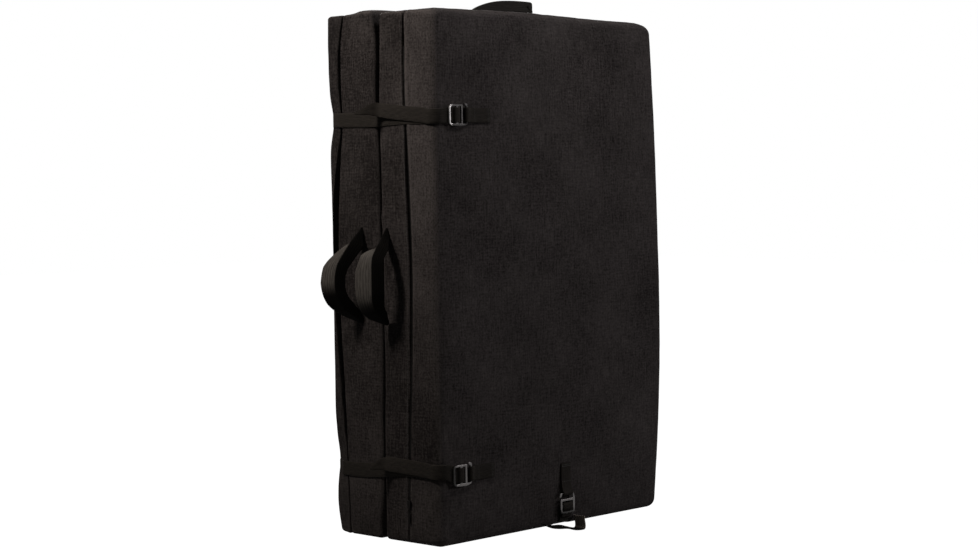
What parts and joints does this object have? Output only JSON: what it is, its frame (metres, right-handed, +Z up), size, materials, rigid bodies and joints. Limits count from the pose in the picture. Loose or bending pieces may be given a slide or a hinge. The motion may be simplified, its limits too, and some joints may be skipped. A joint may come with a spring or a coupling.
{
  "type": "bouldering crash pad",
  "caption": "Folding foam landing pad in a woven cover, closed by webbing straps with open hook buckles, with webbing grab handles and a carrying harness on the back.",
  "frame": {"origin": "on the ground, at the middle of the whole object's outline", "axes": "+Z up along the standing height; the bare front face looks along -Y and the carrying harness is on +Y; the pad folds on the upright edge at +X and opens at -X"},
  "size_m": [0.6308, 0.327, 0.9318],
  "materials": {
    "front_cover": "black coated woven nylon, matte",
    "rear_cover": "black coated woven nylon, matte",
    "front_base_foam": "dark closed-cell foam sheet",
    "front_core_foam": "pale open-cell foam",
    "front_landing_foam": "dark closed-cell foam sheet",
    "rear_landing_foam": "dark closed-cell foam sheet",
    "rear_core_foam": "pale open-cell foam",
    "rear_base_foam": "dark closed-cell foam sheet",
    "harness_panel": "black coated woven nylon, matte",
    "front_zip": "black zip tape with fine coil teeth",
    "rear_zip": "black zip tape with fine coil teeth",
    "front_zip_slider": "black painted metal, rubbed at its edges",
    "rear_zip_slider": "black painted metal, rubbed at its edges",
    "upper_buckle": "satin grey metal with worn bright edges",
    "lower_buckle": "satin grey metal with worn bright edges",
    "bottom_buckle": "satin grey metal with worn bright edges",
    "belt_buckle_socket": "black moulded plastic",
    "belt_buckle_prongs": "black moulded plastic",
    "left_ladder_lock": "black moulded plastic",
    "right_ladder_lock": "black moulded plastic",
    "left_shoulder_strap": "black padded woven nylon",
    "right_shoulder_strap": "black padded woven nylon",
    "left_belt_wing": "black padded woven nylon",
    "right_belt_wing": "black padded woven nylon",
    "upper_anchor": "black woven webbing",
    "lower_anchor": "black woven webbing",
    "bottom_anchor": "black woven webbing",
    "upper_closure_strap": "black woven webbing",
    "lower_closure_strap": "black woven webbing",
    "upper_strap_root": "black woven webbing",
    "lower_strap_root": "black woven webbing",
    "bottom_closure_strap": "black woven webbing",
    "front_handle_upper_tab": "black woven webbing",
    "front_handle_lower_tab": "black woven webbing",
    "front_side_handle": "black woven webbing",
    "rear_handle_upper_tab": "black woven webbing",
    "rear_handle_lower_tab": "black woven webbing",
    "rear_side_handle": "black woven webbing",
    "top_handle_left_tab": "black woven webbing",
    "top_handle_right_tab": "black woven webbing",
    "top_handle": "black woven webbing",
    "bottom_loop": "black woven webbing",
    "fold_hinge": "black woven webbing",
    "left_lower_webbing": "black woven webbing",
    "right_lower_webbing": "black woven webbing"
  },
  "bodies": {
    "rear_half": {"rear_cover": "rear_cover", "rear_landing_foam": "rear_landing_foam", "rear_core_foam": "rear_core_foam", "rear_base_foam": "rear_base_foam", "rear_zip": "rear_zip", "harness_panel": "harness_panel", "rear_handle_upper_tab": "rear_handle_upper_tab", "rear_handle_lower_tab": "rear_handle_lower_tab", "upper_strap_root": "upper_strap_root", "lower_strap_root": "lower_strap_root", "bottom_closure_strap": "bottom_closure_strap", "fold_hinge": "fold_hinge", "left_lower_webbing": "left_lower_webbing", "right_lower_webbing": "right_lower_webbing"},
    "front_half": {"front_cover": "front_cover", "front_base_foam": "front_base_foam", "front_core_foam": "front_core_foam", "front_landing_foam": "front_landing_foam", "front_zip": "front_zip", "front_handle_upper_tab": "front_handle_upper_tab", "front_handle_lower_tab": "front_handle_lower_tab", "top_handle_left_tab": "top_handle_left_tab", "top_handle_right_tab": "top_handle_right_tab", "upper_anchor": "upper_anchor", "lower_anchor": "lower_anchor", "bottom_anchor": "bottom_anchor"},
    "upper_strap": {"upper_closure_strap": "upper_closure_strap"},
    "lower_strap": {"lower_closure_strap": "lower_closure_strap"},
    "upper_hook": {"upper_buckle": "upper_buckle"},
    "lower_hook": {"lower_buckle": "lower_buckle"},
    "bottom_hook": {"bottom_buckle": "bottom_buckle"},
    "front_grab": {"front_side_handle": "front_side_handle"},
    "rear_grab": {"rear_side_handle": "rear_side_handle"},
    "top_grab": {"top_handle": "top_handle"},
    "hanging_loop": {"bottom_loop": "bottom_loop"},
    "front_slider": {"front_zip_slider": "front_zip_slider"},
    "rear_slider": {"rear_zip_slider": "rear_zip_slider"},
    "left_shoulder": {"left_shoulder_strap": "left_shoulder_strap", "left_ladder_lock": "left_ladder_lock"},
    "right_shoulder": {"right_shoulder_strap": "right_shoulder_strap", "right_ladder_lock": "right_ladder_lock"},
    "left_belt": {"left_belt_wing": "left_belt_wing", "belt_buckle_socket": "belt_buckle_socket"},
    "right_belt": {"right_belt_wing": "right_belt_wing", "belt_buckle_prongs": "belt_buckle_prongs"}
  },
  "joints": [
    {"name": "fold", "type": "hinge", "parent": "rear_half", "child": "front_half", "pos_m": [0.31848, 0.00148, 0], "axis": [0, 0, 1], "range_deg": [0, 180], "deforming": ["upper_closure_strap", "lower_closure_strap", "bottom_closure_strap", "fold_hinge"]},
    {"name": "upper_strap_swing", "type": "hinge", "parent": "rear_half", "child": "upper_strap", "pos_m": [-0.25362, 0.10308, 0.7225], "axis": [0, 0, -1], "range_deg": [0, 100]},
    {"name": "lower_strap_swing", "type": "hinge", "parent": "rear_half", "child": "lower_strap", "pos_m": [-0.25362, 0.10308, 0.12], "axis": [0, 0, -1], "range_deg": [0, 100]},
    {"name": "upper_buckle_pivot", "type": "hinge", "parent": "front_half", "child": "upper_hook", "pos_m": [-0.18752, -0.14583, 0.7225], "axis": [0, 0, 1], "range_deg": [0, 60]},
    {"name": "lower_buckle_pivot", "type": "hinge", "parent": "front_half", "child": "lower_hook", "pos_m": [-0.18752, -0.14516, 0.12], "axis": [0, 0, 1], "range_deg": [0, 60]},
    {"name": "bottom_buckle_pivot", "type": "hinge", "parent": "front_half", "child": "bottom_hook", "pos_m": [0.05148, -0.14655, 0.058], "axis": [-1, 0, 0], "range_deg": [0, 60]},
    {"name": "front_handle_swing", "type": "hinge", "parent": "front_half", "child": "front_grab", "pos_m": [-0.25612, -0.02152, 0.452], "axis": [0, 0, 1], "range_deg": [-15, 35]},
    {"name": "rear_handle_swing", "type": "hinge", "parent": "rear_half", "child": "rear_grab", "pos_m": [-0.25612, 0.04248, 0.452], "axis": [0, 0, 1], "range_deg": [-20, 20]},
    {"name": "top_handle_swing", "type": "hinge", "parent": "front_half", "child": "top_grab", "pos_m": [0.00648, -0.03952, 0.9065], "axis": [1, 0, 0], "range_deg": [-30, 30]},
    {"name": "bottom_loop_swing", "type": "hinge", "parent": "front_half", "child": "hanging_loop", "pos_m": [0.03548, -0.13888, 0.0211], "axis": [-1, 0, 0], "range_deg": [0, 80]},
    {"name": "front_zip_slide", "type": "slide", "parent": "front_half", "child": "front_slider", "axis": [0, 0, 1], "range_m": [0, 0.76]},
    {"name": "rear_zip_slide", "type": "slide", "parent": "rear_half", "child": "rear_slider", "axis": [0, 0, 1], "range_m": [0, 0.76]},
    {"name": "left_shoulder_swing", "type": "hinge", "parent": "rear_half", "child": "left_shoulder", "pos_m": [-0.02752, 0.1294, 0.76572], "axis": [1, 0, 0], "range_deg": [0, 70], "deforming": ["left_lower_webbing"]},
    {"name": "right_shoulder_swing", "type": "hinge", "parent": "rear_half", "child": "right_shoulder", "pos_m": [0.08248, 0.1294, 0.76572], "axis": [1, 0, 0], "range_deg": [0, 70], "deforming": ["right_lower_webbing"]},
    {"name": "left_belt_swing", "type": "hinge", "parent": "rear_half", "child": "left_belt", "pos_m": [-0.19752, 0.12847, 0.235], "axis": [0, 0, 1], "range_deg": [0, 85]},
    {"name": "right_belt_swing", "type": "hinge", "parent": "rear_half", "child": "right_belt", "pos_m": [0.25248, 0.12847, 0.235], "axis": [0, 0, -1], "range_deg": [0, 85]}
  ],
  "couplings": [
    {"joint": "upper_strap_swing", "follows": "fold", "ratio": 0.5555},
    {"joint": "lower_strap_swing", "follows": "fold", "ratio": 0.5555}
  ]
}
